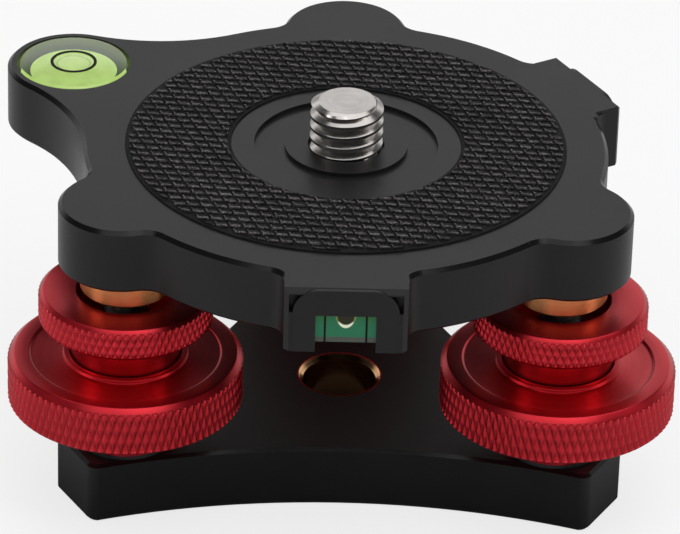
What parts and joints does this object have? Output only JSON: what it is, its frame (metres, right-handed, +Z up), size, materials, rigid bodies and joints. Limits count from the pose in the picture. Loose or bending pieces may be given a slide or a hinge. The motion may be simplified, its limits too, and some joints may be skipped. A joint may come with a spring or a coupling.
{
  "type": "leveling base",
  "caption": "Leveling base for a tripod: lower plate with a threaded socket, knurled adjusting wheels with lock rings, and an upper plate with a stud, a rubber pad and spirit levels",
  "frame": {"origin": "on the tripod socket's axis, at the underside of the base plate", "axes": "+Z up through the stud, the tube level's window with the corner wheels on either side faces -Y, +X to its right"},
  "size_m": [0.0886, 0.0856, 0.0501],
  "materials": {
    "black_anodised": "satin black anodised aluminium",
    "red_anodised": "satin red anodised aluminium",
    "bronze": "turned bronze",
    "steel": "turned steel",
    "stainless": "bright stainless steel",
    "rubber": "textured black rubber",
    "nylon": "black nylon",
    "clear_acrylic": "clear acrylic",
    "level_fluid": "green level fluid",
    "level_backing": "pale green disc",
    "tube_fluid": "green level fluid",
    "tube_backing": "pale green strip",
    "mark_black": "black printed line"
  },
  "bodies": {
    "base": {"base_plate": "black_anodised", "tripod_bush": "bronze", "thrust_washer_left": "nylon", "thrust_washer_right": "nylon", "thrust_washer_rear": "nylon"},
    "wheel_left": {"adjusting_wheel_left": "red_anodised", "retaining_washer_left": "steel", "retaining_screw_left": "steel"},
    "ring_left": {"lock_ring_left": "red_anodised"},
    "screw_left": {"leveling_screw_left": "steel"},
    "wheel_right": {"adjusting_wheel_right": "red_anodised", "retaining_washer_right": "steel", "retaining_screw_right": "steel"},
    "ring_right": {"lock_ring_right": "red_anodised"},
    "screw_right": {"leveling_screw_right": "steel"},
    "wheel_rear": {"adjusting_wheel_rear": "red_anodised", "retaining_washer_rear": "steel", "retaining_screw_rear": "steel"},
    "ring_rear": {"lock_ring_rear": "red_anodised"},
    "screw_rear": {"leveling_screw_rear": "steel"},
    "liner_left": {"ball_liner_left": "nylon"},
    "liner_right": {"ball_liner_right": "nylon"},
    "top": {"top_plate": "black_anodised", "grip_pad": "rubber", "head_stud": "stainless", "round_vial": "clear_acrylic", "round_fluid": "level_fluid", "round_mark": "mark_black", "round_backing": "level_backing", "ball_liner_rear": "nylon", "ball_bush_left": "bronze", "ball_bush_right": "bronze", "ball_bush_rear": "bronze", "socket_plug_left": "steel", "socket_plug_right": "steel", "socket_plug_rear": "steel", "tube_vial_front": "clear_acrylic", "tube_vial_side": "clear_acrylic", "tube_fluid_front": "tube_fluid", "tube_fluid_side": "tube_fluid", "tube_lines_front": "mark_black", "tube_lines_side": "mark_black", "tube_backing_front": "tube_backing", "tube_backing_side": "tube_backing"}
  },
  "joints": [
    {"name": "wheel_left_turn", "type": "hinge", "parent": "base", "child": "wheel_left", "pos_m": [-0.02806, -0.0162, 0.015], "axis": [0, 0, 1], "range_deg": [-1260, 540]},
    {"name": "lock_left_turn", "type": "hinge", "parent": "wheel_left", "child": "ring_left", "pos_m": [-0.02806, -0.0162, 0.024], "axis": [0, 0, 1], "range_deg": [0, 90]},
    {"name": "screw_left_rise", "type": "slide", "parent": "base", "child": "screw_left", "axis": [0, 0, 1], "range_m": [-0.0016, 0.0036]},
    {"name": "wheel_right_turn", "type": "hinge", "parent": "base", "child": "wheel_right", "pos_m": [0.02806, -0.0162, 0.015], "axis": [0, 0, 1], "range_deg": [-1260, 540]},
    {"name": "lock_right_turn", "type": "hinge", "parent": "wheel_right", "child": "ring_right", "pos_m": [0.02806, -0.0162, 0.024], "axis": [0, 0, 1], "range_deg": [0, 90]},
    {"name": "screw_right_rise", "type": "slide", "parent": "base", "child": "screw_right", "axis": [0, 0, 1], "range_m": [-0.0016, 0.0036]},
    {"name": "wheel_rear_turn", "type": "hinge", "parent": "base", "child": "wheel_rear", "pos_m": [0, 0.0324, 0.015], "axis": [0, 0, 1], "range_deg": [-1260, 540]},
    {"name": "lock_rear_turn", "type": "hinge", "parent": "wheel_rear", "child": "ring_rear", "pos_m": [0, 0.0324, 0.024], "axis": [0, 0, 1], "range_deg": [0, 90]},
    {"name": "screw_rear_rise", "type": "slide", "parent": "base", "child": "screw_rear", "axis": [0, 0, 1], "range_m": [-0.0016, 0.0036]},
    {"name": "tilt_left", "type": "hinge", "parent": "base", "child": "liner_left", "pos_m": [0.02806, -0.0162, 0.0351], "axis": [-0.5, 0.866, 0], "range_deg": [-1.9, 4.3]},
    {"name": "tilt_right", "type": "hinge", "parent": "liner_left", "child": "liner_right", "pos_m": [-0.02806, -0.0162, 0.0351], "axis": [-0.5, -0.866, 0], "range_deg": [-1.9, 4.3]},
    {"name": "tilt_rear", "type": "hinge", "parent": "liner_right", "child": "top", "pos_m": [-0.02806, -0.0162, 0.0351], "axis": [1, 0, 0], "range_deg": [-1.9, 4.3]}
  ],
  "couplings": [
    {"joint": "screw_left_rise", "follows": "wheel_left_turn", "m_per_rad": -0.00015915},
    {"joint": "screw_right_rise", "follows": "wheel_right_turn", "m_per_rad": -0.00015915},
    {"joint": "screw_rear_rise", "follows": "wheel_rear_turn", "m_per_rad": -0.00015915},
    {"joint": "tilt_left", "follows": "wheel_left_turn", "ratio": -0.0032748},
    {"joint": "tilt_right", "follows": "wheel_right_turn", "ratio": -0.0032748},
    {"joint": "tilt_rear", "follows": "wheel_rear_turn", "ratio": -0.0032748}
  ]
}
